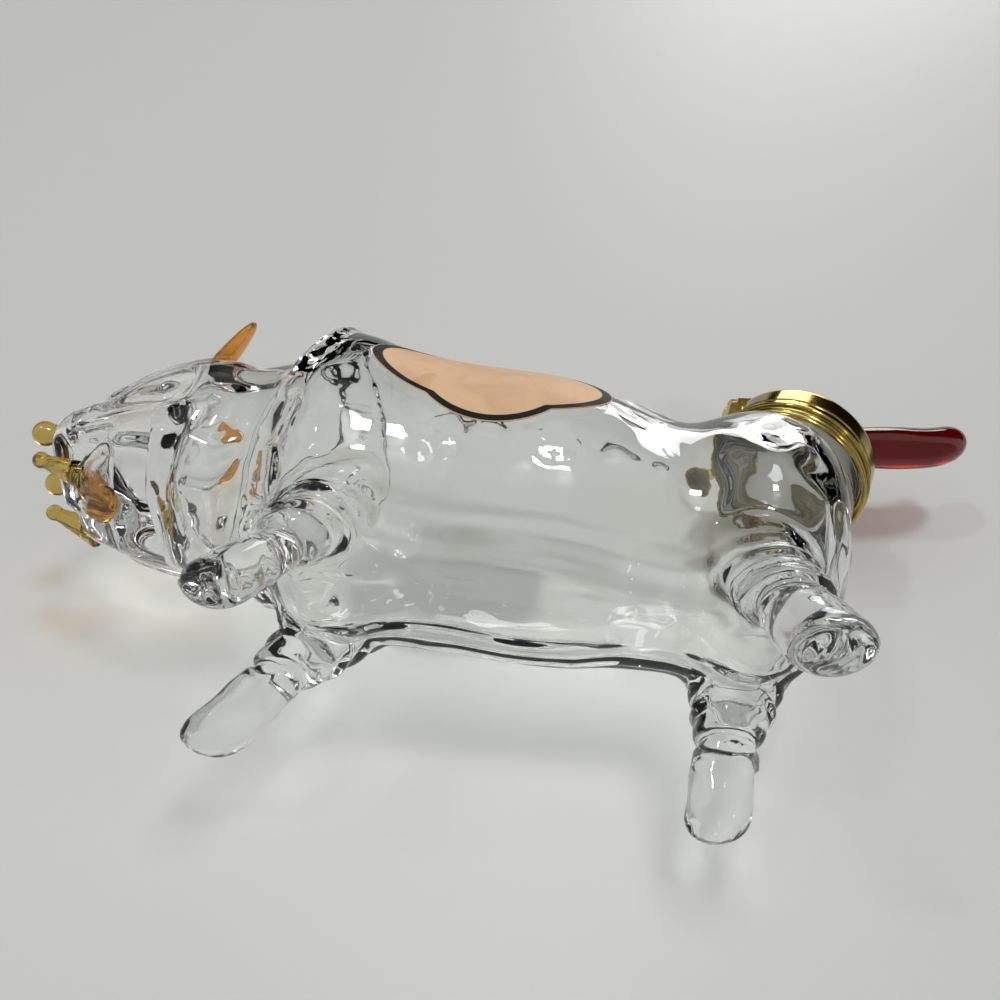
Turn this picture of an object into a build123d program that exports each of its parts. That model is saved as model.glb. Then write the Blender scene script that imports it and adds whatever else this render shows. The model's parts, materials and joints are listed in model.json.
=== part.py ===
from build123d import *
import math
import os

# A hand-blown glass bottle in the shape of a stout four-legged animal, standing on its four feet.
# +Z is up, the head points to -X and the left flank to -Y. All sizes are in millimetres.

# The blown body: reaches to the muzzle and the rump from a point between the legs, and radii
muzzle_reach = 65.5
rump_reach = 46.0
axis_height = 35.0
muzzle_radius = 9.0
head_radius = 15.4
nape_radius = 15.6
shoulder_radius = 22.4
barrel_radius = 20.6
waist_radius = 17.4
haunch_radius = 20.8
glass_wall = 1.9
muzzle_solid = 15.0

# The mouth, cut across the solid glass of the muzzle
mouth_depth = 12.5
mouth_height = 29.0
mouth_corner_radius = 0.5
upper_lip_rise = 1.2
lower_lip_drop = 2.8
jaw_setback = 5.5
chin_slant = 2.0

# The neck on the rump
neck_angle = 66.0
neck_setback = 6.8
neck_rise = 13.2
neck_radius = 11.0
neck_root_radius = 11.7
neck_root_length = 14.0
neck_length = 10.5
neck_bore_radius = 8.2
lip_rounding = 0.8

# The gold cap with its liner, and the band that stays on the neck when the cap has been opened
cap_radius = 12.2
cap_wall = 0.7
cap_height = 6.6
cap_rounding = 1.3
crease_radius = 0.3
crease_height = 2.4
liner_thickness = 1.0
liner_clearance = 0.3
seal_gap = 0.05
band_height = 2.2
bead_radius = 0.6
band_gap = 0.3
band_clearance = 0.3

# The fluted ferrule on the cap and the red glass tail in it
tail_angle = 11.0
tail_radius = 3.5
tail_length = 22.0
tail_curl_angle = 38.0
tail_socket_depth = 3.0
ferrule_base_radius = 7.6
ferrule_tip_radius = 4.6
ferrule_length = 12.0
ferrule_offset = 3.5
flute_count = 16
glue_gap = 0.05

# The legs: solid rods on the hollow roots of the body, each with a sole of its own size and place
root_drop = 22.0
root_ring_radius = 5.4
root_flare_radius = 10.5
root_floor = 2.2
front_root_x = -26.6
front_root_y = 11.4
rear_root_x = 32.4
rear_root_y = 12.6
front_left_sole_x = -33.0
front_right_sole_x = -35.6
front_sole_y = 14.4
rear_left_sole_x = 34.8
rear_right_sole_x = 30.9
rear_sole_y = 18.4
front_left_radius = 3.7
front_right_radius = 4.1
rear_left_radius = 4.8
rear_right_radius = 4.2

# The rolled collar at the shoulder and the row of bumps on the spine
roll_width = 5.4
roll_height = 1.7
roll_top_x = -27.0
roll_chest_x = -36.0
roll_steps = 12
bump_count = 6
bump_radius = 2.6
bump_height = 1.3
bump_pitch = 6.6
first_bump_x = -12.0

# Glass applied to the head
ear_setback = 19.4
ear_length = 7.5
ear_width = 5.4
ear_thickness = 2.4
ear_sink = 2.0
ear_spread_angle = 40.0
ear_sweep_angle = 30.0
eye_setback = 22.5
eye_radius = 2.0
eye_height = 0.9
eye_spread_angle = 98.0
nostril_y = 4.6
nostril_height = 33.4
nostril_radius = 1.8
nostril_root_radius = 2.7
nostril_reach = 3.2
tusk_y = 4.8
tusk_height = 27.6
tusk_radius = 1.2
tusk_root_radius = 2.1
tusk_length = 8.0
tusk_setback = 0.6
tongue_width = 6.4
tongue_thickness = 1.4
tongue_length = 6.8

# The paper label on the left flank, as seen from the side
label_width = 33.0
label_height = 21.0
label_end_height = 16.0
label_lobe_width = 22.0
label_thickness = 0.15
label_x = -6.0
label_rise = 5.5

# Rings of the body from the muzzle to the rump: share of the length, the radius that the ring
# follows, its share across and upwards, its rise as a share of the barrel radius, and -1 or 1
# where the ring belongs to the rounded front or rear end
ring_shares = [
    (0.000, muzzle_radius, 0.56, 0.58, -0.100, -1),
    (0.008, muzzle_radius, 0.79, 0.82, -0.100, -1),
    (0.028, muzzle_radius, 0.96, 1.00, -0.095, -1),
    (0.065, head_radius, 0.70, 0.73, -0.060, -1),
    (0.120, head_radius, 0.90, 0.94, 0.020, 0),
    (0.178, head_radius, 1.01, 1.06, 0.080, 0),
    (0.228, head_radius, 1.01, 1.07, 0.100, 0),
    (0.266, nape_radius, 1.00, 1.04, 0.090, 0),
    (0.300, nape_radius, 1.14, 1.18, 0.060, 0),
    (0.342, shoulder_radius, 0.97, 1.01, 0.040, 0),
    (0.430, shoulder_radius, 0.93, 0.97, 0.020, 0),
    (0.555, barrel_radius, 0.99, 1.01, 0.000, 0),
    (0.680, barrel_radius, 0.95, 0.97, -0.030, 0),
    (0.795, waist_radius, 1.01, 1.04, -0.080, 0),
    (0.870, haunch_radius, 0.96, 0.98, -0.040, 0),
    (0.925, haunch_radius, 0.92, 0.94, -0.030, 0),
    (0.966, haunch_radius, 0.76, 0.78, -0.010, 1),
    (0.989, haunch_radius, 0.48, 0.50, 0.000, 1),
    (1.000, haunch_radius, 0.20, 0.21, 0.000, 1),
]
cavity_first_ring = 5
cavity_nose_share = 0.45
root_top_share = 0.4
knob_neck_share = 0.8
knob_drop_share = 0.6
knob_sink_share = 2.0
tusk_splay_share = 0.05
tusk_lift_share = 0.35
tongue_rounding_share = 0.45
skirt_bead_share = 0.7
tail_straight_share = 0.55
flute_share = 0.08

# Rings of a leg from its root to its sole: share of the root's height, and of the leg's radius
leg_shares = [(0.95, 1.24), (0.88, 1.02), (0.60, 0.98), (0.30, 1.03), (0.10, 1.04), (0.03, 0.95)]
sole_share = 0.82

# Rings of the shoulder roll: share of its width forwards or rearwards, and of its height
roll_shares = [(-0.5, -0.4), (-0.36, 0.55), (-0.18, 0.95), (0.0, 1.05), (0.18, 0.95), (0.36, 0.55), (0.5, -0.4)]

# Rings of an ear from its root to its tip, of the red tail, and of a root of the body
ear_shares = [(0.0, 0.75, 0.9), (0.35, 1.0, 1.0), (0.7, 0.85, 0.7), (0.92, 0.5, 0.42), (1.0, 0.16, 0.2)]
tail_shares = [(0.0, 0.94), (0.25, 1.0), (0.5, 1.0), (0.72, 0.95), (0.88, 0.84), (0.96, 0.62), (1.0, 0.25)]
root_shares = [(0.0, 0.0), (0.12, 0.02), (0.38, 0.28), (0.72, 0.66), (1.0, 1.0)]


def body_rings(swell):
    """Place, half width and half height of each ring, with the glass swollen outwards by swell."""
    rings = []
    for share, radius, across_share, up_share, rise_share, end in ring_shares:
        x = share * (muzzle_reach + rump_reach) - muzzle_reach + end * swell
        z = axis_height + rise_share * barrel_radius
        rings.append((x, z, across_share * radius + swell, up_share * radius + swell))
    return rings


def body_place(x):
    """Centre height, half width and half height of the body at x, between its two nearest rings."""
    rings = body_rings(0)
    for (x0, z0, w0, h0), (x1, z1, w1, h1) in zip(rings, rings[1:]):
        if x <= x1:
            t = (x - x0) / (x1 - x0)
            return z0 + t * (z1 - z0), w0 + t * (w1 - w0), h0 + t * (h1 - h0)
    return rings[-1][1:]


def ring_loft(rings):
    """Solid lofted through upright ellipses across the body."""
    with BuildPart() as form:
        for x, z, half_width, half_height in rings:
            with BuildSketch(Plane(origin=(x, 0, z), x_dir=(0, 1, 0), z_dir=(1, 0, 0))):
                Ellipse(half_width, half_height)
        loft()
    return form.part


def leaning(angle):
    """Direction at an angle above the horizontal, rearwards."""
    return Vector(math.cos(math.radians(angle)), 0, math.sin(math.radians(angle)))


def body_point(x, spread_angle, side):
    """Point on the body at x, spread_angle from the top towards a flank, and the way out of it."""
    z, half_width, half_height = body_place(x)
    sine, cosine = math.sin(math.radians(spread_angle)), math.cos(math.radians(spread_angle))
    point = Vector(x, side * half_width * sine, z + half_height * cosine)
    return point, Vector(0, side * sine, cosine)


outside = ring_loft(body_rings(0))

# Planes of the neck and the tail. A profile plane has its own Y along the axis that it turns about.
neck_axis, neck_across = leaning(neck_angle), leaning(neck_angle - 90)
neck_seat = Vector(rump_reach - neck_setback, 0, axis_height + neck_rise)
neck_plane = Plane(origin=neck_seat, x_dir=neck_across, z_dir=neck_axis)
neck_profile = Plane(origin=neck_plane.origin, x_dir=neck_across, z_dir=(0, -1, 0))
neck_line = Axis(neck_plane.origin, neck_axis)
cap_top = neck_length + seal_gap + liner_thickness + seal_gap + cap_wall
tail_plane = Plane(
    origin=neck_plane.offset(cap_top).origin - neck_across * ferrule_offset,
    x_dir=leaning(tail_angle - 90),
    z_dir=leaning(tail_angle),
)

# Each leg: place of its root and of its sole, and its radius. The roots hang below the body's axis.
root_height = axis_height - root_drop
legs = {
    "front_left": (front_root_x, -front_root_y, front_left_sole_x, -front_sole_y, front_left_radius),
    "front_right": (front_root_x, front_root_y, front_right_sole_x, front_sole_y, front_right_radius),
    "rear_left": (rear_root_x, -rear_root_y, rear_left_sole_x, -rear_sole_y, rear_left_radius),
    "rear_right": (rear_root_x, rear_root_y, rear_right_sole_x, rear_sole_y, rear_right_radius),
}
pieces = []


def finish(part, label):
    """Names a finished piece and puts it with the others."""
    part.label = label
    pieces.append(part)


def leg_loft(leg, circles):
    """Solid lofted through level circles on the leaning line of a leg, each a height and a radius."""
    root_x, root_y, sole_x, sole_y, _ = legs[leg]
    with BuildPart() as form:
        for height, radius in circles:
            drop = 1 - height / root_height
            x, y = root_x + (sole_x - root_x) * drop, root_y + (sole_y - root_y) * drop
            with BuildSketch(Plane(origin=(x, y, height))):
                Circle(radius)
        loft()
    return form.part


def root_form(leg, wall, floor):
    """Flared root of a leg, from its ring up into the body, less a wall and a floor."""
    bottom = root_height + floor
    top = axis_height - barrel_radius * root_top_share
    flare = root_flare_radius - root_ring_radius
    circles = [
        (bottom + height_share * (top - bottom), root_ring_radius + flare_share * flare - wall)
        for height_share, flare_share in root_shares
    ]
    return leg_loft(leg, circles)


# The cavity: head, barrel, haunch, the four hollow roots and the bore, as one connected space
with BuildPart() as cavity:
    inner = body_rings(-glass_wall)
    add(ring_loft(inner))
    first_x, first_z, first_width, first_height = inner[cavity_first_ring]
    split(bisect_by=Plane(origin=(first_x, 0, 0), z_dir=(1, 0, 0)), keep=Keep.TOP)
    nose_x = muzzle_solid - muzzle_reach
    nose = (nose_x, first_z, first_width * cavity_nose_share, first_height * cavity_nose_share)
    add(ring_loft([nose, inner[cavity_first_ring]]))
    for leg in legs:
        add(root_form(leg, glass_wall, root_floor))
    with BuildSketch(neck_profile):
        with BuildLine():
            bore_wall = Line((neck_bore_radius, -neck_root_length), (neck_bore_radius, neck_length - lip_rounding))
            mouth_edge = RadiusArc(bore_wall @ 1, (neck_bore_radius + lip_rounding, neck_length), lip_rounding)
            Polyline(
                mouth_edge @ 1,
                (neck_bore_radius + lip_rounding, neck_length + lip_rounding),
                (0, neck_length + lip_rounding),
                (0, -neck_root_length),
                bore_wall @ 0,
            )
        make_face()
    revolve(axis=neck_line)

# The open mouth: a wedge to the corner of the jaws, with the lower jaw cut back to its chin
corner_x = mouth_depth - muzzle_reach
front_x = -muzzle_reach - nostril_reach
jaw_x = jaw_setback - muzzle_reach
with BuildPart() as mouth:
    with BuildSketch(Plane.XZ):
        with BuildLine():
            roof_corner = (corner_x, mouth_height + mouth_corner_radius)
            floor_corner = (corner_x, mouth_height - mouth_corner_radius)
            roof = Line((front_x, mouth_height + upper_lip_rise), roof_corner)
            floor = Line(floor_corner, (jaw_x, mouth_height - lower_lip_drop))
            ThreePointArc(roof @ 1, (corner_x + mouth_corner_radius, mouth_height), floor @ 0)
            Polyline(floor @ 1, (jaw_x + chin_slant, 0), (front_x, 0), roof @ 0)
        make_face()
    extrude(amount=head_radius, both=True)

# The skin that applied pieces are pressed onto: the blown form with its mouth, roots and neck
with BuildPart() as skin:
    add(outside)
    add(mouth.part, mode=Mode.SUBTRACT)
    for leg in legs:
        add(root_form(leg, 0, 0))
    with BuildSketch(neck_profile):
        with BuildLine():
            flare = Line((neck_root_radius, -neck_root_length), (neck_root_radius, 0))
            Spline(flare @ 1, (neck_radius, neck_length / 4), tangents=[(0, 1), (0, 1)])
            outer_wall = Line((neck_radius, neck_length / 4), (neck_radius, neck_length - lip_rounding))
            lip = RadiusArc(outer_wall @ 1, (neck_radius - lip_rounding, neck_length), -lip_rounding)
            Polyline(lip @ 1, (0, neck_length), (0, -neck_root_length), flare @ 0)
        make_face()
    revolve(axis=neck_line)

# The blown glass body, hollow from its head to its leg roots and its neck
with BuildPart() as glass_body:
    add(skin.part)
    add(cavity.part, mode=Mode.SUBTRACT)
finish(glass_body.part, "glass_body")

# The four legs: solid rods whose heads carry the rings of the roots, with rounded flat soles
for leg, (_, _, _, _, radius) in legs.items():
    rings = [(root_height, root_ring_radius)]
    rings += [(share * root_height, radius_share * radius) for share, radius_share in leg_shares]
    rod = leg_loft(leg, rings + [(0, sole_share * radius)])
    finish(rod, f"leg_{leg}")

roll_foot, roll_head = axis_height - shoulder_radius, axis_height + shoulder_radius
roll_lean = (roll_top_x - roll_chest_x) / (roll_head - roll_foot)


def roll_section(shift, swell):
    """Plane and outline of the body's section where the roll lies, shifted and swollen."""
    outline, x = [], roll_top_x
    for step in range(roll_steps):
        for _ in range(roll_steps):
            seat, out = body_point(x, step * 360 / roll_steps, 1)
            x = roll_chest_x + shift + (seat.Z - roll_foot) * roll_lean
        point = seat + out * swell
        outline.append(Vector(roll_chest_x + shift + (point.Z - roll_foot) * roll_lean, point.Y, point.Z))
    slope = Vector(roll_lean, 0, 1)
    origin = Vector(roll_chest_x + shift + (axis_height - roll_foot) * roll_lean, 0, axis_height)
    plane = Plane(origin=origin, x_dir=(0, 1, 0), z_dir=Vector(0, 1, 0).cross(slope))
    return plane, [plane.to_local_coords(point) for point in outline]


# The rolled collar of glass, leaning forward from the hump of the shoulder to the chest
with BuildPart() as shoulder_roll:
    for width_share, swell_share in roll_shares:
        plane, outline = roll_section(width_share * roll_width, swell_share * roll_height)
        with BuildSketch(plane):
            with BuildLine():
                Spline(*outline, periodic=True)
            make_face()
    loft()
    add(skin.part, mode=Mode.SUBTRACT)
finish(shoulder_roll.part, "shoulder_roll")

# The row of low bumps along the spine, each a small gather of glass pressed on
for number in range(bump_count):
    x = first_bump_x + number * bump_pitch
    z, _, half_height = body_place(x)
    with BuildPart() as spine_bump:
        with Locations((x, 0, z + half_height + bump_height - bump_radius)):
            Sphere(bump_radius)
        add(skin.part, mode=Mode.SUBTRACT)
    finish(spine_bump.part, f"spine_bump_{number + 1}")


def knob(tip, inwards, tip_radius, root_radius, length):
    """Ball at the tip, running out into a cone of the given length towards the glass."""
    across = inwards.cross(Vector(0, 0, 1)).normalized()
    waist, neck_drop = tip_radius * knob_neck_share, tip_radius * knob_drop_share
    with BuildPart() as form:
        with BuildSketch(Plane(origin=tip, x_dir=across, z_dir=across.cross(inwards))):
            with BuildLine():
                ThreePointArc((0, -tip_radius), (tip_radius, 0), (waist, neck_drop))
                Polyline((waist, neck_drop), (root_radius, length), (0, length), (0, -tip_radius))
            make_face()
        revolve(axis=Axis(tip, inwards))
    return form.part


# Ears, eye beads, nostril knobs and tusks, a left and a right one of each
for side_name, side in {"left": -1, "right": 1}.items():
    seat, out = body_point(ear_setback - muzzle_reach, ear_spread_angle, side)
    rise = out * math.cos(math.radians(ear_sweep_angle))
    rise += Vector(math.sin(math.radians(ear_sweep_angle)), 0, 0)
    ear_plane = Plane(origin=seat - rise * ear_sink, x_dir=rise.cross(Vector(1, 0, 0)), z_dir=rise)
    with BuildPart() as ear:
        for along_share, width_share, thickness_share in ear_shares:
            with BuildSketch(ear_plane.offset(along_share * (ear_length + ear_sink))):
                Ellipse(width_share * ear_width / 2, thickness_share * ear_thickness / 2)
        loft()
        add(skin.part, mode=Mode.SUBTRACT)
    finish(ear.part, f"ear_{side_name}")

    seat, out = body_point(eye_setback - muzzle_reach, eye_spread_angle, side)
    with BuildPart() as eye:
        with Locations(seat + out * (eye_height - eye_radius)):
            Sphere(eye_radius)
        add(skin.part, mode=Mode.SUBTRACT)
    finish(eye.part, f"eye_{side_name}")

    tip = Vector(-muzzle_reach - nostril_reach + nostril_radius, side * nostril_y, nostril_height)
    with BuildPart() as nostril:
        add(knob(tip, Vector(1, 0, 0), nostril_radius, nostril_root_radius, nostril_reach * knob_sink_share))
        add(skin.part, mode=Mode.SUBTRACT)
    finish(nostril.part, f"nostril_{side_name}")

    tip = Vector(tusk_setback - muzzle_reach, side * tusk_y, tusk_height)
    inwards = Vector(1, side * tusk_splay_share, -tusk_lift_share).normalized()
    with BuildPart() as tusk:
        add(knob(tip, inwards, tusk_radius, tusk_root_radius, tusk_length))
        add(skin.part, mode=Mode.SUBTRACT)
    finish(tusk.part, f"tusk_{side_name}")

# The tongue, an amber strip on the lower jaw, between the lower face of the mouth and its own top
with BuildPart() as tongue:
    with BuildSketch(Plane.XY.offset(mouth_height - lower_lip_drop)) as tongue_sketch:
        with Locations((corner_x - tongue_length / 2, 0)):
            Rectangle(tongue_length, tongue_width)
        fillet(tongue_sketch.vertices().group_by(Axis.X)[0], tongue_width * tongue_rounding_share)
    extrude(amount=lower_lip_drop + tongue_thickness)
    tongue_top = mouth.part.moved(Location((0, 0, tongue_thickness)))
    add(mouth.part, mode=Mode.INTERSECT)
    add(tongue_top, mode=Mode.SUBTRACT)
finish(tongue.part, "tongue")

# The paper label: a plaque outline of two crossed ovals, wrapped onto the left flank
papered = ring_loft(body_rings(label_thickness))
with BuildPart() as label_left:
    with BuildSketch(Plane.XZ):
        with Locations((label_x, axis_height + label_rise)):
            Ellipse(label_width / 2, label_end_height / 2)
            Ellipse(label_lobe_width / 2, label_height / 2)
    extrude(amount=shoulder_radius + muzzle_radius)
    add(papered, mode=Mode.INTERSECT)
    add(outside, mode=Mode.SUBTRACT)
finish(label_left.part, "label_left")

# The band left on the neck below the cap, with two rolled beads
cap_inside = cap_radius - cap_wall
cap_skirt = cap_top - cap_height
band_top = cap_skirt - band_gap
with BuildPart() as tamper_band:
    with BuildSketch(neck_profile):
        with Locations((cap_inside + cap_wall / 2, band_top - band_height / 2)):
            Rectangle(cap_wall, band_height)
            with GridLocations(0, band_height - 2 * bead_radius, 1, 2):
                Circle(bead_radius)
        with Locations((0, band_top - band_height / 2)):
            Rectangle(2 * (neck_root_radius + band_clearance), band_height, mode=Mode.SUBTRACT)
    revolve(axis=neck_line)
finish(tamper_band.part, "tamper_band")

# The seal disc in the cap, which lies on the lip of the neck
liner_seat = neck_length + seal_gap
with BuildPart() as cap_liner:
    with BuildSketch(neck_plane.offset(liner_seat)):
        Circle(cap_inside - liner_clearance)
    extrude(amount=liner_thickness)
finish(cap_liner.part, "cap_liner")

# The gold cap, a drawn shell with a rounded top, a crease round its wall and a rolled skirt
with BuildPart() as cap_blank:
    with BuildSketch(neck_plane.offset(cap_skirt)):
        Circle(cap_radius)
    extrude(amount=cap_height)
    fillet(cap_blank.edges().group_by(neck_line)[-1], cap_rounding)
with BuildPart() as cap_shell:
    add(cap_blank.part)
    with BuildSketch(neck_plane.offset(cap_skirt)):
        Circle(cap_inside)
    extrude(amount=cap_height - cap_wall, mode=Mode.SUBTRACT)
    with BuildSketch(neck_profile):
        with Locations((cap_radius, cap_skirt + bead_radius)):
            Circle(bead_radius * skirt_bead_share)
    revolve(axis=neck_line)
    with BuildSketch(neck_profile):
        with Locations((cap_radius, cap_skirt + crease_height)):
            Circle(crease_radius)
    revolve(axis=neck_line, mode=Mode.SUBTRACT)
finish(cap_shell.part, "cap_shell")

# The path of the tail: straight out of the ferrule, then curling upwards
tail_start = tail_plane.offset(ferrule_length).origin
straight = tail_length * tail_straight_share
curl_radius = (tail_length - straight) / math.radians(tail_curl_angle)


def tail_station(along):
    """Plane across the tail at a distance along its path, with its own X to the side."""
    bend = max(along - straight, 0) / curl_radius
    centre = tail_start + leaning(tail_angle) * min(along, straight)
    centre += leaning(tail_angle) * (curl_radius * math.sin(bend))
    centre += leaning(tail_angle + 90) * (curl_radius * (1 - math.cos(bend)))
    return Plane(origin=centre, x_dir=(0, 1, 0), z_dir=leaning(tail_angle + math.degrees(bend)))


# The red glass tail, a curled rod with a rounded tip, sunk in the socket of the ferrule
with BuildPart() as tail:
    with BuildSketch(tail_plane.offset(ferrule_length - tail_socket_depth)):
        Circle(tail_shares[0][1] * tail_radius)
    for along_share, radius_share in tail_shares:
        with BuildSketch(tail_station(along_share * tail_length)):
            Circle(radius_share * tail_radius)
    loft()
finish(tail.part, "tail")

# The fluted ferrule, a cone with shallow flutes that stands on the cap and holds the tail
with BuildPart() as tail_ferrule:
    for along, radius in (
        (-ferrule_base_radius, ferrule_base_radius),
        (0, ferrule_base_radius),
        (ferrule_length, ferrule_tip_radius),
    ):
        with BuildSketch(tail_plane.offset(along)):
            Circle(radius)
            with PolarLocations(radius, flute_count):
                Circle(flute_share * radius, mode=Mode.SUBTRACT)
    loft(ruled=True)
    with BuildSketch(neck_plane.offset(cap_top - cap_radius * 2)):
        Circle(cap_radius * 4)
    extrude(amount=cap_radius * 2, mode=Mode.SUBTRACT)
    with BuildSketch(tail_plane.offset(ferrule_length - tail_socket_depth - glue_gap)):
        Circle(tail_radius + glue_gap)
    extrude(amount=tail_socket_depth * 2, mode=Mode.SUBTRACT)
finish(tail_ferrule.part, "tail_ferrule")

# The whole object stands with its origin on the floor, under the middle of its box
box = Compound(children=[part.moved(Location()) for part in pieces]).bounding_box()
standing = Location((-box.center().X, -box.center().Y, -box.min.Z))
os.makedirs("parts", exist_ok=True)
for part in pieces:
    piece = part.moved(standing)
    piece.label = part.label
    export_step(piece, f"parts/{piece.label}.step")
print("Moved by", standing.position, "box", box.size)
print("Cavity in millilitres", cavity.part.volume / 1000)
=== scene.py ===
import json
import math

import bmesh
import bpy
from mathutils import Matrix, Vector, noise


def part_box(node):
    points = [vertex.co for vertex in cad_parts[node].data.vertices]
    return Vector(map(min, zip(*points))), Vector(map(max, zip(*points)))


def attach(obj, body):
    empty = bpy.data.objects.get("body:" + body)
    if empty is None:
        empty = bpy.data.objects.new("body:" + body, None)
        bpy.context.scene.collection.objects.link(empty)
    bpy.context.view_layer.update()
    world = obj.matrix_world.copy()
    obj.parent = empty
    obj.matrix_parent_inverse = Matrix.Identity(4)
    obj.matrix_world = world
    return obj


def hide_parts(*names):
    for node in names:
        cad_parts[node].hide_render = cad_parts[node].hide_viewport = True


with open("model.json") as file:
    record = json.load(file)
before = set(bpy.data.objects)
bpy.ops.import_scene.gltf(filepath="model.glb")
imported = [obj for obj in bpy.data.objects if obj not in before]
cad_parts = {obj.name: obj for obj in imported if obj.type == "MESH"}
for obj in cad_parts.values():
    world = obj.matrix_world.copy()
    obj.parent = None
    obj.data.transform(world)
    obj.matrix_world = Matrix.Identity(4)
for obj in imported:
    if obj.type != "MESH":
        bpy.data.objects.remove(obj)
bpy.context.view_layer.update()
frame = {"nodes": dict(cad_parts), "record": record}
bpy.context.scene.view_settings.view_transform = "Standard"

# The camera. The bottle lies on its right flank and is seen from below its belly, from close by,
# with the head to the left and the soles of its feet towards the lens.
mm = 0.001
aim = Vector((-2.7, 0.3, 35)) * mm
aim_px = (517, 516)
middle_px = 500
focal_px = 1000
view_distance = 144 * mm
view_rise = math.radians(41)
view_roll = math.radians(7.9)

forward = Vector((0, math.sin(view_rise), math.cos(view_rise)))
level_up = Vector((0, -math.cos(view_rise), math.sin(view_rise)))
level_right = Vector((1, 0, 0))
right = level_right * math.cos(view_roll) + level_up * math.sin(view_roll)
up = level_up * math.cos(view_roll) - level_right * math.sin(view_roll)
pixel = view_distance / focal_px
eye = aim - forward * view_distance
eye += up * ((aim_px[1] - middle_px) * pixel) - right * ((aim_px[0] - middle_px) * pixel)

camera_data = bpy.data.cameras.new("camera")
camera_data.sensor_width = 36
camera_data.lens = 36 * focal_px / (2 * middle_px)
camera_data.clip_start = 5 * mm
camera = bpy.data.objects.new("camera", camera_data)
camera.matrix_world = Matrix.Translation(eye) @ Matrix((right, up, -forward)).transposed().to_4x4()
bpy.context.scene.collection.objects.link(camera)
bpy.context.scene.camera = camera


def ray(x, y):
    """Direction from the camera through a point of the picture."""
    return forward + right * ((x - middle_px) / focal_px) - up * ((y - middle_px) / focal_px)


# Values that change over a surface, written as sums and products.
class Wire:
    """An output in a tree of nodes. Arithmetic on wires adds the Math nodes that work it out."""

    def __init__(self, tree, socket=None):
        self.tree, self.socket = tree, socket

    def node(self, kind, settings=None, values=None, out=0):
        """Adds a node, sets it up, feeds its inputs with values or wires and gives an output."""
        new = self.tree.nodes.new("ShaderNode" + kind)
        for name, value in (settings or {}).items():
            if name == "stops":
                for number, (place, colour) in enumerate(value):
                    ramp = new.color_ramp.elements
                    stop = ramp[number] if number < len(ramp) else ramp.new(place)
                    stop.position, stop.color = place, (*colour, 1)
            else:
                setattr(new, name, value)
        for name, value in (values or {}).items():
            if isinstance(value, Wire):
                self.tree.links.new(value.socket, new.inputs[name])
            else:
                new.inputs[name].default_value = value
        return Wire(self.tree, new.outputs[out])

    def math(self, operation, *values):
        return self.node("Math", {"operation": operation}, dict(enumerate(values)))

    def __add__(self, other):
        return self.math("ADD", self, other)

    def __sub__(self, other):
        return self.math("SUBTRACT", self, other)

    def __rsub__(self, other):
        return self.math("SUBTRACT", other, self)

    def __mul__(self, other):
        return self.math("MULTIPLY", self, other)

    def __truediv__(self, other):
        return self.math("DIVIDE", self, other)

    __radd__ = __add__
    __rmul__ = __mul__

    def between(self, low, high):
        """0 below low, 1 above high, smooth in between."""
        return self.node("MapRange", {"interpolation_type": "SMOOTHSTEP"}, {0: self, 1: low, 2: high})

    def part(self, axis):
        return self.node("SeparateXYZ", None, {0: self}, "XYZ".index(axis))

    def mixed(self, first, second):
        """First colour where the wire is 0, second where it is 1."""
        return self.node("Mix", {"data_type": "RGBA"}, {0: self, 6: first, 7: second}, 2)

    def noise(self, scale, detail=3, distortion=0):
        values = {"Vector": self, "Scale": scale, "Detail": detail, "Distortion": distortion}
        return self.node("TexNoise", None, values)


def finish(name, sockets, varied=None, clears_shadow=False):
    """A material from plain socket values, and from wires that are made by varied(place)."""
    material = bpy.data.materials.new(name)
    material.use_nodes = True
    tree = material.node_tree
    shader = tree.nodes["Principled BSDF"]
    for socket, value in sockets.items():
        shader.inputs[socket].default_value = value
    place = Wire(tree).node("TexCoord", None, None, "Object")
    for socket, wire in (varied(place) if varied else {}).items():
        tree.links.new(wire.socket, shader.inputs[socket])
    if clears_shadow:
        shadow = Wire(tree).node("LightPath", None, None, "Is Shadow Ray")
        sheer = Wire(tree).node("BsdfTransparent", None, {"Color": clears_shadow})
        solid = Wire(tree, shader.outputs[0])
        surface = Wire(tree).node("MixShader", None, {0: shadow, 1: solid, 2: sheer})
        tree.links.new(surface.socket, tree.nodes["Material Output"].inputs["Surface"])
    return material


def bump(place_wire, height, strength, distance):
    return place_wire.node("Bump", None, {"Height": height, "Strength": strength, "Distance": distance})


# The stage: a pale table that the bottle lies on, seen by the camera, and a pale floor that it
# stands on in other views. Each shows its upper face alone and lets the lamps through, so neither
# hides the other or darkens it.
table_normal = Vector((0, -0.977, -0.21)).normalized()
table_height = min(
    table_normal.dot(vert.co) for node in frame["nodes"].values() for vert in node.data.vertices
)
table_edge_px = ((0, -30), (1000, -30))
table_overhang = 0.6
table_reach = 1.2
floor_half = 0.9
table_white = (0.62, 0.62, 0.605, 1)
table_sheen = 0.45


def on_table(direction):
    """Point where a line of sight from the camera meets the table."""
    return eye + direction * ((table_height - table_normal.dot(eye)) / table_normal.dot(direction))


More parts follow.
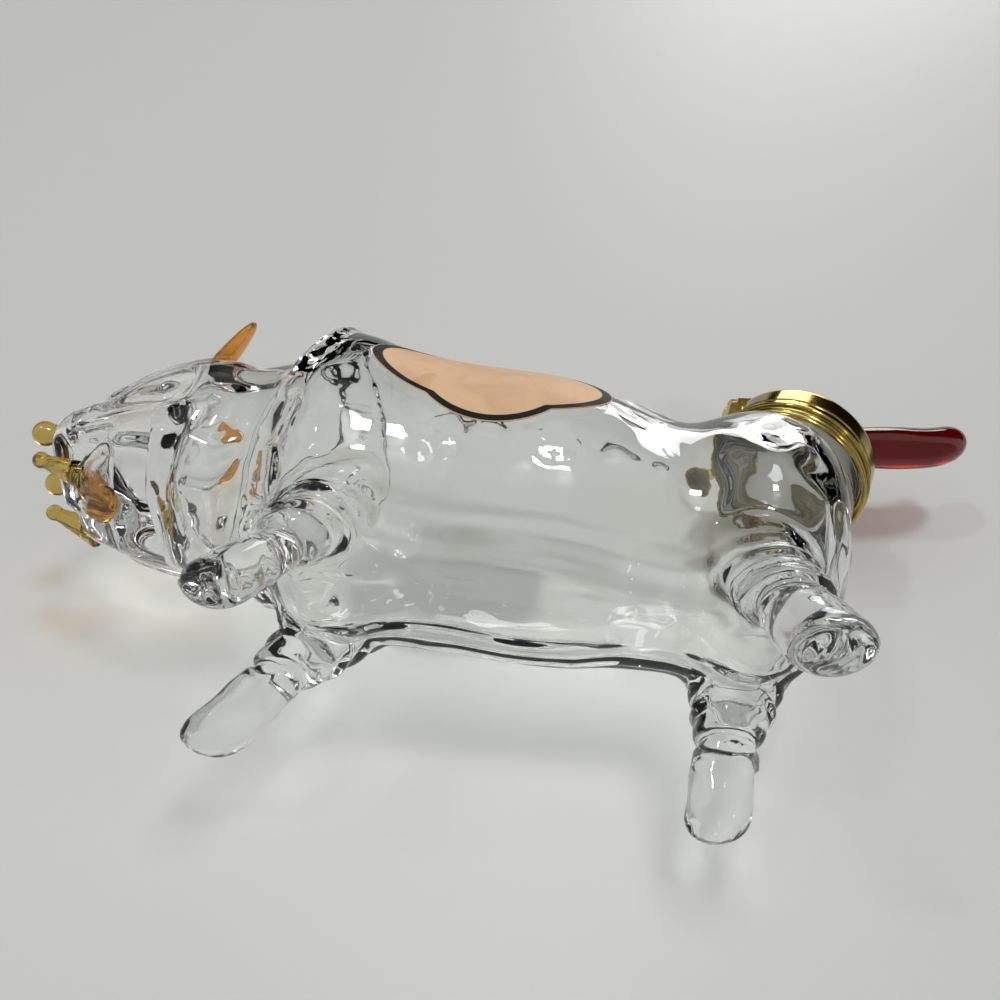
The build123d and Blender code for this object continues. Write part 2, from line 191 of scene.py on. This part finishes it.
def pale(name, colour):
    """Matte white lacquer that shows its upper face alone, and only to eyes and reflections."""
    material = finish(name, {"Base Color": colour, "Roughness": table_sheen})
    tree = material.node_tree
    back = Wire(tree).node("NewGeometry", None, None, "Backfacing")
    shadow = Wire(tree).node("LightPath", None, None, "Is Shadow Ray")
    diffuse = Wire(tree).node("LightPath", None, None, "Is Diffuse Ray")
    unseen = back.math("MAXIMUM", back, shadow.math("MAXIMUM", shadow, diffuse))
    clear = Wire(tree).node("BsdfTransparent")
    lacquer = Wire(tree, tree.nodes["Principled BSDF"].outputs[0])
    surface = Wire(tree).node("MixShader", None, {0: unseen, 1: lacquer, 2: clear})
    tree.links.new(surface.socket, tree.nodes["Material Output"].inputs["Surface"])
    return material


def slab(name, corners, facing, colour):
    """A flat stage plane through its corners, facing the given way."""
    mesh = bmesh.new()
    face = mesh.faces.new([mesh.verts.new(corner) for corner in corners])
    face.normal_update()
    if face.normal.dot(facing) < 0:
        face.normal_flip()
    data = bpy.data.meshes.new(name)
    mesh.to_mesh(data)
    data.materials.append(pale(name, colour))
    plane = bpy.data.objects.new(name, data)
    bpy.context.scene.collection.objects.link(plane)


edge_left, edge_right = (on_table(ray(*place)) for place in table_edge_px)
edge_way = (edge_right - edge_left).normalized()
edge_left -= edge_way * table_overhang
edge_right += edge_way * table_overhang
nearer = table_normal.cross(edge_way) * table_reach
if nearer.dot(forward) > 0:
    nearer = -nearer
table_corners = (edge_left, edge_right, edge_right + nearer, edge_left + nearer)
slab("table", table_corners, table_normal, table_white)
floor_corners = [Vector((x, y, 0)) * floor_half for x, y in ((-1, -1), (1, -1), (1, 1), (-1, 1))]
slab("floor", floor_corners, Vector((0, 0, 1)), table_white)

# The light of the room: an even pale surrounding, dark only low beyond the far edge of the table,
# and where the viewer stands, which gives the glass and the gold their dark lines, and soft lamps.
room_white = (0.62, 0.62, 0.605, 1)
room_dark = (0.006, 0.006, 0.007, 1)
dark_rise = (0.56, 0.7)
dark_from = (0.32, 0.46)
beyond = Vector((0, -0.21, 0.977)).normalized()
viewer_dark = (0.05, 0.05, 0.052, 1)
viewer_reach = (0.88, 0.95)

world = bpy.data.worlds.new("room")
bpy.context.scene.world = world
world.use_nodes = True
tree = world.node_tree
away = Wire(tree).node("TexCoord", None, None, "Generated")
rise = away.node("VectorMath", {"operation": "DOT_PRODUCT"}, {0: away, 1: table_normal}, "Value")
reach = away.node("VectorMath", {"operation": "DOT_PRODUCT"}, {0: away, 1: beyond}, "Value")
dark = (1 - rise.between(*dark_rise)) * reach.between(*dark_from)
behind = away.node("VectorMath", {"operation": "DOT_PRODUCT"}, {0: away, 1: -forward}, "Value")
room = behind.between(*viewer_reach).mixed(dark.mixed(room_white, room_dark), viewer_dark)
tree.links.new(room.socket, tree.nodes["Background"].inputs["Color"])


def lamp(name, place, size, power):
    """A soft square lamp that looks at the bottle: its place and size in metres, its power in watts."""
    data = bpy.data.lights.new(name, "AREA")
    data.size, data.energy = size, power
    light = bpy.data.objects.new(name, data)
    light.location = place
    light.rotation_euler = (aim - Vector(place)).to_track_quat("-Z", "Y").to_euler()
    light.visible_camera = False
    bpy.context.scene.collection.objects.link(light)


lamp("lamp_over_table", aim + table_normal * 0.9 + beyond * 0.25 + Vector((0.1, 0, 0)), 0.12, 2.3)
lamp("lamp_over_table_left", aim + table_normal * 0.8 + beyond * 0.15 - Vector((0.45, 0, 0)), 0.05, 0.9)
lamp("lamp_small_near", aim + table_normal * 0.5 - beyond * 0.35 + Vector((0.25, 0, 0)), 0.03, 0.25)
lamp("lamp_over_floor", Vector((0.15, -0.2, 0.7)), 0.3, 1.4)
lamp("lamp_behind", Vector((-0.3, 0.45, 0.5)), 0.2, 0.8)


# The blown body, with its legs, collar, bumps and eye beads: clear glass, fused hot into one wall.
# Its surfaces run into each other where the gathers met, and sway as the soft glass did.
grain = 0.65 * mm
melt_rounds = 3
weld = 0.002 * mm
axis_height = 35 * mm
neck_calm = (-5 * mm, -1 * mm)
sole_calm = (1.5 * mm, 6 * mm)
ripple_pitch, outer_ripple, inner_ripple = 8.5 * mm, 0.45 * mm, 0.7 * mm
ripple_squeeze = 1.2
outer_seed, inner_seed = Vector((3, 7, 0)), Vector((3, 7, 5))
end_pitch, end_ripple, end_from, end_to = 4.6 * mm, 0.5 * mm, 20 * mm, 32 * mm
calm_x, calm_reach, calm_share = -4 * mm, 15 * mm, 0.7
collar_top = Vector((-29.7, 0, 57.4)) * mm
collar_chest = Vector((-38.7, 0, 12.6)) * mm
collar_half, collar_low = 3.4 * mm, 14 * mm
crackle_pitch, crackle_height = 1.9 * mm, 0.42 * mm
ring_pitch, ring_height, ring_low, ring_high = 2.7 * mm, 0.34 * mm, 8 * mm, 21 * mm
ring_side, ring_fade_low, ring_fade_high = 4 * mm, 2 * mm, 4 * mm
glass_nodes = ["glass_body", "shoulder_roll", "eye_left", "eye_right"]
glass_nodes += [f"leg_{end}_{side}" for end in ("front", "rear") for side in ("left", "right")]
glass_nodes += [node for node in frame["nodes"] if node.startswith("spine_bump_")]
head_x, head_rounds = -47 * mm, 14
joints = frame["record"]["behaviour"]["joints"]
cap_joint = next(joint for joint in joints if joint["name"] == "cap_turn")
neck_seat, neck_axis = Vector(cap_joint["pos_m"]), Vector(cap_joint["axis"])

# Patches where the chilled skin crazed and glitters: a middle and a reach in mm.
crazed = (
    ((-17, -4, 15.5), 6),
    ((17, -4, 17.5), 5),
    ((27, -5, 17), 7),
    ((-13, -17, 27), 8),
    ((1, -18, 28), 5),
    ((13, -14, 44), 5),
)
crazed_pitch, crazed_height = 2.4 * mm, 0.3 * mm

# Lines drawn in the hot glass of the head, on each side: a radius, a height and places in mm.
head_lines = (
    (3.2, -1.8, ((-63, 8, 39), (-57, 11.5, 40), (-50, 13.5, 44), (-44, 11, 50))),
    (3.0, 1.9, ((-62, 4.5, 42), (-56, 7.5, 47), (-50, 9, 51))),
    (2.6, 1.4, ((-61, 9, 29), (-54, 13, 27), (-46, 14, 26))),
    (3.0, -1.6, ((-60, 10, 34), (-53, 14, 33), (-45, 16, 36))),
    (3.4, -1.0, ((-44, 14, 29), (-42, 16, 37), (-42, 11, 48))),
)
head_line_x, head_line_fall = -38 * mm, 2


def relaxed(mesh, verts, rounds):
    """Evens out points of a mesh, as the pull of its skin evens out hot glass."""
    for _ in range(rounds):
        bmesh.ops.smooth_vert(
            mesh, verts=verts, factor=0.5, use_axis_x=True, use_axis_y=True, use_axis_z=True
        )


def melted(name, nodes, grain, rounds):
    """A new mesh from copies of solids, run together as hot glass runs, with soft corners."""
    soft = bmesh.new()
    for node in nodes:
        soft.from_mesh(frame["nodes"][node].data)
    bmesh.ops.remove_doubles(soft, verts=soft.verts, dist=weld)
    data = bpy.data.meshes.new(name)
    soft.to_mesh(data)
    piece = bpy.data.objects.new(name, data)
    bpy.context.scene.collection.objects.link(piece)
    remesh = piece.modifiers.new("remesh", "REMESH")
    remesh.mode, remesh.voxel_size = "VOXEL", grain
    evaluated = piece.evaluated_get(bpy.context.evaluated_depsgraph_get())
    data = bpy.data.meshes.new_from_object(evaluated)
    piece.modifiers.clear()
    soft = bmesh.new()
    soft.from_mesh(data)
    relaxed(soft, soft.verts, rounds)
    for face in soft.faces:
        face.smooth = True
    soft.to_mesh(data)
    piece.data = data
    return piece


def faded(value, low, high):
    """0 below low, 1 above high, smooth in between."""
    t = min(max((value - low) / (high - low), 0), 1)
    return t * t * (3 - 2 * t)


def line_gap(place, start, end):
    """Distance from a place to a straight line between two others."""
    way = end - start
    t = min(max((place - start).dot(way) / way.length_squared, 0), 1)
    return (place - start - way * t).length


def glass_push(place, way):
    """How far the skin of the glass stands out at a place, where it faces the given way."""
    spoke = Vector((0, place.y, place.z - axis_height))
    outer = way.dot(spoke) > 0
    neck = (place - neck_seat).dot(neck_axis)
    still = (1 - faded(neck, *neck_calm)) * faded(place.z, *sole_calm)
    calm = 1 - calm_share * math.exp(-(((place.x - calm_x) / calm_reach) ** 2))
    squeezed = Vector((place.x * ripple_squeeze, place.y, place.z)) / ripple_pitch
    ripple = noise.noise(squeezed + (outer_seed if outer else inner_seed))
    push = ripple * calm * (outer_ripple if outer else inner_ripple)
    if not outer:
        push += end_ripple * noise.noise(place / end_pitch) * faded(abs(place.x), end_from, end_to)
    if place.z < ring_high and abs(place.y) > ring_side:
        window = faded(place.z, ring_low, ring_low + ring_fade_low)
        window *= 1 - faded(place.z, ring_high - ring_fade_high, ring_high)
        push += ring_height * math.sin(math.tau * place.z / ring_pitch) * window
    for middle, reach in crazed:
        near = (place - Vector(middle) * mm).length / (reach * mm)
        if near < 1:
            push += crazed_height * noise.noise(place / crazed_pitch) * (1 - near * near)
    if outer:
        drop = (collar_top.z - place.z) / (collar_top.z - collar_chest.z)
        collar_gap = abs(place.x - collar_top.x - (collar_chest.x - collar_top.x) * drop)
        if collar_gap < collar_half and place.z > collar_low:
            push += crackle_height * noise.noise(place / crackle_pitch) * (1 - collar_gap / collar_half)
        for radius, height, places in head_lines:
            if place.x < head_line_x:
                beside = Vector((place.x, abs(place.y), place.z))
                line = [Vector(point) * mm for point in places]
                gap = min(line_gap(beside, a, b) for a, b in zip(line, line[1:]))
                push += height * mm * math.exp(-((gap / (radius * mm)) ** 2) * head_line_fall)
    return push * still


def clear(place):
    return {"Normal": bump(place, place.noise(90, 4, 0.4), 0.1, 0.4 * mm)}


body_glass = finish(
    "clear_glass",
    {"Base Color": (0.965, 0.975, 0.965, 1), "Roughness": 0.0, "IOR": 1.5, "Transmission Weight": 1.0},
    clear,
    clears_shadow=(0.74, 0.75, 0.74, 1),
)
blown_body = melted("blown_body", glass_nodes, grain, melt_rounds)
skin = bmesh.new()
skin.from_mesh(blown_body.data)
head = [vert for vert in skin.verts if vert.co.x < head_x]
relaxed(skin, head, head_rounds)
skin.normal_update()
pushes = [vert.normal * glass_push(vert.co, vert.normal) for vert in skin.verts]
for vert, push in zip(skin.verts, pushes):
    vert.co += push
skin.to_mesh(blown_body.data)
blown_body.data.materials.append(body_glass)
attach(blown_body, "glass")
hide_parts(*glass_nodes)

# The thread of the neck: a low rounded ridge of the same glass, pressed in the mould of the finish,
# one and a half turns under the cap.
thread_pitch, thread_turns, thread_steps = 3.2 * mm, 1.5, 72
thread_reach, thread_half, thread_from = 10.85 * mm, 0.5 * mm, 4.4 * mm
thread_sides, thread_weld = 10, 0.001 * mm
count_way = Vector((1, 0.618, 0.377))


def in_order(mesh):
    """Counts points and faces along a slanted line, so that every run lists them alike."""
    mesh.verts.sort(key=lambda vert: vert.co.dot(count_way))
    mesh.faces.sort(key=lambda face: face.calc_center_median().dot(count_way))


neck_side = neck_axis.cross(Vector((0, 1, 0))).normalized()
thread = bmesh.new()
ridge = bmesh.ops.create_circle(thread, cap_ends=True, segments=thread_sides, radius=thread_half)
ridge = ridge["verts"]
start = neck_seat + neck_axis * thread_from + neck_side * thread_reach
tilt = Matrix((neck_side, neck_axis, neck_side.cross(neck_axis))).transposed()
bmesh.ops.transform(thread, matrix=Matrix.Translation(start) @ tilt.to_4x4(), verts=ridge)
bmesh.ops.spin(
    thread, geom=thread.faces[:] + thread.edges[:] + thread.verts[:], cent=neck_seat, axis=neck_axis,
    dvec=neck_axis * (thread_pitch * thread_turns / thread_steps), angle=math.tau * thread_turns,
    steps=thread_steps, use_merge=False, use_duplicate=False,
)
bmesh.ops.remove_doubles(thread, verts=thread.verts, dist=thread_weld)
bmesh.ops.recalc_face_normals(thread, faces=thread.faces)
in_order(thread)
for face in thread.faces:
    face.smooth = True
data = bpy.data.meshes.new("neck_thread")
thread.to_mesh(data)
neck_thread = bpy.data.objects.new("neck_thread", data)
bpy.context.scene.collection.objects.link(neck_thread)
data.materials.append(body_glass)
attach(neck_thread, "glass")

# Amber glass: nostril knobs and tusks in honey, ears and tongue darker, drawn from coloured rod
# and fused on hot. The tongue is a flat drop, a little smaller than its solid.
amber_grain, amber_rounds = 0.2 * mm, 3
amber_nodes = ["nostril_left", "nostril_right", "tusk_left", "tusk_right", "tongue", "ear_left", "ear_right"]
tongue_share, tongue_facets = 0.86, (40, 24)
honey_colour, honey_shade = (0.66, 0.48, 0.12, 1), (0.85, 0.7, 0.4, 1)
amber_colour, amber_shade = (0.82, 0.34, 0.05, 1), (0.85, 0.55, 0.3, 1)


def coloured(name, colour, shade):
    """Glass of a colour, with its soft shadow in a lighter one."""
    sockets = {"Base Color": colour, "Roughness": 0.01, "IOR": 1.5, "Transmission Weight": 1.0}
    return finish(name, sockets, clear, clears_shadow=shade)


def melted_drop(name, node):
    """A flat round drop of glass in the middle of the space that a solid takes."""
    low, high = (Vector(corner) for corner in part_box(node))
    drop = bmesh.new()
    bmesh.ops.create_uvsphere(drop, u_segments=tongue_facets[0], v_segments=tongue_facets[1], radius=0.5)
    bmesh.ops.scale(drop, vec=(high - low) * tongue_share, verts=drop.verts)
    bmesh.ops.translate(drop, vec=(high + low) / 2, verts=drop.verts)
    in_order(drop)
    for face in drop.faces:
        face.smooth = True
    data = bpy.data.meshes.new(name)
    drop.to_mesh(data)
    piece = bpy.data.objects.new(name, data)
    bpy.context.scene.collection.objects.link(piece)
    return piece


honey = coloured("honey_glass", honey_colour, honey_shade)
dark_amber = coloured("amber_glass", amber_colour, amber_shade)
for node in amber_nodes:
    name = f"amber_{node}"
    if node == "tongue":
        piece = melted_drop(name, node)
    else:
        piece = melted(name, [node], amber_grain, amber_rounds)
    piece.data.materials.append(honey if node.startswith(("nostril", "tusk")) else dark_amber)
    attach(piece, "glass")
    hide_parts(node)

# The red tail: a drawn rod of deep red glass with a rounded tip.
red_colour, red_shade = (0.13, 0.001, 0.001, 1), (0.4, 0.04, 0.04, 1)
tail_grain, tail_rounds = 0.4 * mm, 5
red = coloured("red_glass", red_colour, red_shade)
tail = melted("red_tail", ["tail"], tail_grain, tail_rounds)
tail.data.materials.append(red)
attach(tail, "cap")
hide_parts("tail")


# The gold cap, its band and the ferrule: thin aluminium under a gold lacquer, rolled and crimped,
# with the smudges and the fine rubs that handling leaves.
gold_bright, gold_dull = (0.52, 0.38, 0.1, 1), (0.32, 0.25, 0.07, 1)
smudge_scale, smudge_span, dent_scale = 240, (0.35, 0.7), 150
gold_polish, gold_rub = 0.07, 0.13


def lacquered(place):
    smudge = place.noise(smudge_scale, 4, 0.6)
    return {
        "Base Color": smudge.between(*smudge_span).mixed(gold_bright, gold_dull),
        "Roughness": gold_polish + smudge * gold_rub,
        "Normal": bump(place, place.noise(dent_scale, 4), 0.18, 0.3 * mm),
    }


gold = finish("gold_cap", {"Metallic": 1.0}, lacquered)
for node in ("cap_shell", "tamper_band", "tail_ferrule"):
    frame["nodes"][node].data.materials.clear()
    frame["nodes"][node].data.materials.append(gold)

# The seal disc under the top of the cap, cut from white foamed plastic.
seal = finish("liner_plastic", {"Base Color": (0.85, 0.85, 0.82, 1), "Roughness": 0.6})
frame["nodes"]["cap_liner"].data.materials.clear()
frame["nodes"]["cap_liner"].data.materials.append(seal)

# The label: coated paper with a black border inside its edge, glued round the left flank, where it
# creased a little as it dried.
paper_tan, paper_worn = (0.73, 0.48, 0.29, 1), (0.64, 0.4, 0.25, 1)
border_black = (0.004, 0.004, 0.004, 1)
label_low, label_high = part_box("label_left")
label_mid = (Vector(label_low) + Vector(label_high)) / 2
border_inner, border_outer = 1.15 * mm, 0.12 * mm
ink_blur_inner, ink_blur_outer = 0.1 * mm, 0.08 * mm
crease_scale, crease_span = 120, (0.35, 0.75)
label_ovals = ((16.5 * mm, 8 * mm), (11 * mm, 10.5 * mm))


def printed(place):
    x, z = place.part("X") - label_mid.x, place.part("Z") - label_mid.z
    gaps = []
    for half_width, half_height in label_ovals:
        across, along = x / half_width, z / half_height
        square = across * across + along * along
        gaps.append((square.math("SQRT", square) - 1) * ((half_width + half_height) / 2))
    gap = gaps[0].math("MINIMUM", *gaps)
    border = gap.between(-border_inner, -border_inner + ink_blur_inner)
    border = border * (1 - gap.between(-border_outer, -border_outer + ink_blur_outer))
    crease = place.noise(crease_scale, 3, 1.2)
    aged = crease.between(*crease_span).mixed(paper_tan, paper_worn)
    return {
        "Base Color": border.mixed(aged, border_black),
        "Normal": bump(place, crease, 0.6, 0.7 * mm),
    }


paper = finish("label_paper", {"Roughness": 0.6, "Specular IOR Level": 0.2}, printed)
frame["nodes"]["label_left"].data.materials.clear()
frame["nodes"]["label_left"].data.materials.append(paper)
